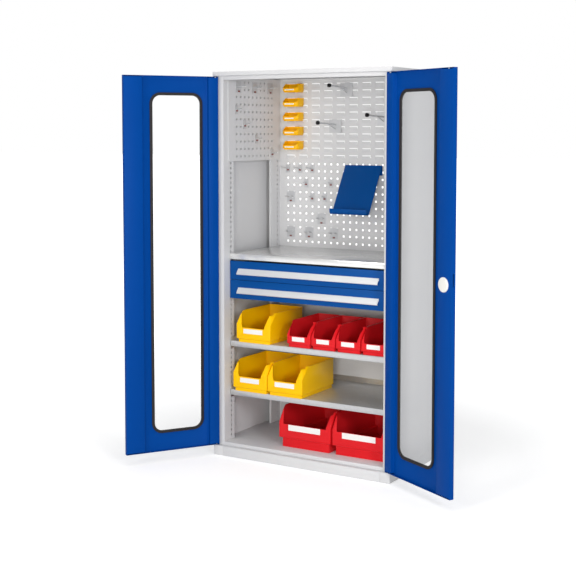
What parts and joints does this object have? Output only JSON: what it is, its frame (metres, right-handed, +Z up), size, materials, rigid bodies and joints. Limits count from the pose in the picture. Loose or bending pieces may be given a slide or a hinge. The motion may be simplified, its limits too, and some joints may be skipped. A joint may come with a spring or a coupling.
{
  "type": "tool cabinet with doors",
  "caption": "Steel tool cabinet with glazed swing doors, louvred and perforated inner walls, a worktop, telescopic drawers, shelves and open-fronted storage bins.",
  "frame": {"origin": "centre of the cabinet's footprint on the floor, under the centre rail of the plinth", "axes": "+Z up, the doors and drawers face -Y, +X to the right seen from the front"},
  "size_m": [1.6771, 1.0076, 1.95],
  "materials": {
    "grey_powder_coat": "satin powder coat, fine grain",
    "grey_powder_coat_drawer": "satin powder coat on the drawer trays",
    "blue_powder_coat": "satin powder coat, gentian blue",
    "blue_powder_coat_inner": "satin powder coat, gentian blue",
    "galvanised_sheet": "galvanised, semi-gloss",
    "zinc_plated_steel": "bright zinc plate",
    "anodised_aluminium": "natural satin anodised",
    "yellow_plastic": "moulded polypropylene, semi-gloss",
    "red_plastic": "moulded polypropylene, semi-gloss",
    "black_rubber": "matt",
    "clear_acrylic": "clear, polished",
    "brown_plastic": "matt",
    "black_plastic": "matt",
    "dark_blue_plastic": "satin",
    "white_plastic": "semi-gloss"
  },
  "bodies": {
    "cabinet": {"arm_tips": "black_plastic", "back_wall_lower": "grey_powder_coat", "document_stand": "blue_powder_coat_inner", "fixed_slide_rails": "zinc_plated_steel", "floor_pan": "grey_powder_coat", "front_header": "grey_powder_coat", "hinge_pins": "zinc_plated_steel", "hook_clips": "brown_plastic", "hung_bin_1": "yellow_plastic", "hung_bin_2": "yellow_plastic", "hung_bin_3": "yellow_plastic", "hung_bin_4": "yellow_plastic", "hung_bin_5": "yellow_plastic", "louvre_panel": "grey_powder_coat", "panel_hooks": "zinc_plated_steel", "perforated_back_panel": "grey_powder_coat", "plinth_cover": "grey_powder_coat", "plinth_frame": "grey_powder_coat", "roof_cap": "grey_powder_coat", "shelf_clips": "zinc_plated_steel", "shelf_lower": "galvanised_sheet", "shelf_upper": "galvanised_sheet", "side_panel_left": "grey_powder_coat", "side_panel_right": "grey_powder_coat", "side_wall_left": "grey_powder_coat", "side_wall_right": "grey_powder_coat", "tool_arms": "zinc_plated_steel", "worktop": "galvanised_sheet"},
    "left_door": {"left_door_skin": "blue_powder_coat", "left_door_seal": "black_rubber", "left_door_pane": "clear_acrylic", "left_door_stiffeners": "blue_powder_coat"},
    "right_door": {"right_door_skin": "blue_powder_coat", "right_door_seal": "black_rubber", "right_door_pane": "clear_acrylic", "right_door_stiffeners": "blue_powder_coat", "lock_case": "zinc_plated_steel", "lock_cover": "white_plastic"},
    "lock_knob": {"lock_knob": "dark_blue_plastic", "lock_cam": "zinc_plated_steel"},
    "upper_lock_rod": {"upper_lock_rod": "zinc_plated_steel"},
    "lower_lock_rod": {"lower_lock_rod": "zinc_plated_steel"},
    "upper_drawer": {"upper_drawer_box": "grey_powder_coat_drawer", "upper_drawer_front": "blue_powder_coat_inner", "upper_drawer_grip": "anodised_aluminium"},
    "lower_drawer": {"lower_drawer_box": "grey_powder_coat_drawer", "lower_drawer_front": "blue_powder_coat_inner", "lower_drawer_grip": "anodised_aluminium"},
    "upper_middle_rails": {"upper_middle_rails": "zinc_plated_steel"},
    "lower_middle_rails": {"lower_middle_rails": "zinc_plated_steel"},
    "large_bin_1": {"large_bin_1": "yellow_plastic"},
    "large_bin_2": {"large_bin_2": "yellow_plastic"},
    "large_bin_3": {"large_bin_3": "yellow_plastic"},
    "medium_bin_1": {"medium_bin_1": "red_plastic"},
    "medium_bin_2": {"medium_bin_2": "red_plastic"},
    "medium_bin_3": {"medium_bin_3": "red_plastic"},
    "medium_bin_4": {"medium_bin_4": "red_plastic"},
    "wide_bin_1": {"wide_bin_1": "red_plastic"},
    "wide_bin_2": {"wide_bin_2": "red_plastic"}
  },
  "joints": [
    {"name": "left_door_hinge", "type": "hinge", "parent": "cabinet", "child": "left_door", "pos_m": [-0.488, -0.292, 0.99], "axis": [0, 0, -1], "range_deg": [-123, 42]},
    {"name": "right_door_hinge", "type": "hinge", "parent": "cabinet", "child": "right_door", "pos_m": [0.488, -0.292, 0.99], "axis": [0, 0, 1], "range_deg": [-151, 14]},
    {"name": "lock_turn", "type": "hinge", "parent": "right_door", "child": "lock_knob", "pos_m": [0.87059, -0.49493, 0.991], "axis": [0.4848, 0.8746, 0], "range_deg": [-90, 0]},
    {"name": "upper_rod_slide", "type": "slide", "parent": "right_door", "child": "upper_lock_rod", "axis": [0, 0, -1], "range_m": [-0.018, 0]},
    {"name": "lower_rod_slide", "type": "slide", "parent": "right_door", "child": "lower_lock_rod", "axis": [0, 0, 1], "range_m": [-0.018, 0]},
    {"name": "upper_drawer_slide", "type": "slide", "parent": "cabinet", "child": "upper_drawer", "axis": [0, -1, 0], "range_m": [0, 0.45]},
    {"name": "lower_drawer_slide", "type": "slide", "parent": "cabinet", "child": "lower_drawer", "axis": [0, -1, 0], "range_m": [0, 0.45]},
    {"name": "upper_middle_rail_slide", "type": "slide", "parent": "cabinet", "child": "upper_middle_rails", "axis": [0, -1, 0], "range_m": [0, 0.225]},
    {"name": "lower_middle_rail_slide", "type": "slide", "parent": "cabinet", "child": "lower_middle_rails", "axis": [0, -1, 0], "range_m": [0, 0.225]},
    {"name": "large_bin_1_slide", "type": "slide", "parent": "cabinet", "child": "large_bin_1", "axis": [0, -1, 0], "range_m": [0, 0.15]},
    {"name": "large_bin_2_slide", "type": "slide", "parent": "cabinet", "child": "large_bin_2", "axis": [0, -1, 0], "range_m": [0, 0.15]},
    {"name": "large_bin_3_slide", "type": "slide", "parent": "cabinet", "child": "large_bin_3", "axis": [0, -1, 0], "range_m": [0, 0.15]},
    {"name": "medium_bin_1_slide", "type": "slide", "parent": "cabinet", "child": "medium_bin_1", "axis": [0, -1, 0], "range_m": [0, 0.15]},
    {"name": "medium_bin_2_slide", "type": "slide", "parent": "cabinet", "child": "medium_bin_2", "axis": [0, -1, 0], "range_m": [0, 0.15]},
    {"name": "medium_bin_3_slide", "type": "slide", "parent": "cabinet", "child": "medium_bin_3", "axis": [0, -1, 0], "range_m": [0, 0.15]},
    {"name": "medium_bin_4_slide", "type": "slide", "parent": "cabinet", "child": "medium_bin_4", "axis": [0, -1, 0], "range_m": [0, 0.15]},
    {"name": "wide_bin_1_slide", "type": "slide", "parent": "cabinet", "child": "wide_bin_1", "axis": [0, -1, 0], "range_m": [0, 0.15]},
    {"name": "wide_bin_2_slide", "type": "slide", "parent": "cabinet", "child": "wide_bin_2", "axis": [0, -1, 0], "range_m": [0, 0.15]}
  ],
  "couplings": [
    {"joint": "lock_turn", "follows": "upper_rod_slide", "rad_per_m": 87.266},
    {"joint": "lower_rod_slide", "follows": "upper_rod_slide", "ratio": 1},
    {"joint": "upper_middle_rail_slide", "follows": "upper_drawer_slide", "ratio": 0.5},
    {"joint": "lower_middle_rail_slide", "follows": "lower_drawer_slide", "ratio": 0.5}
  ]
}
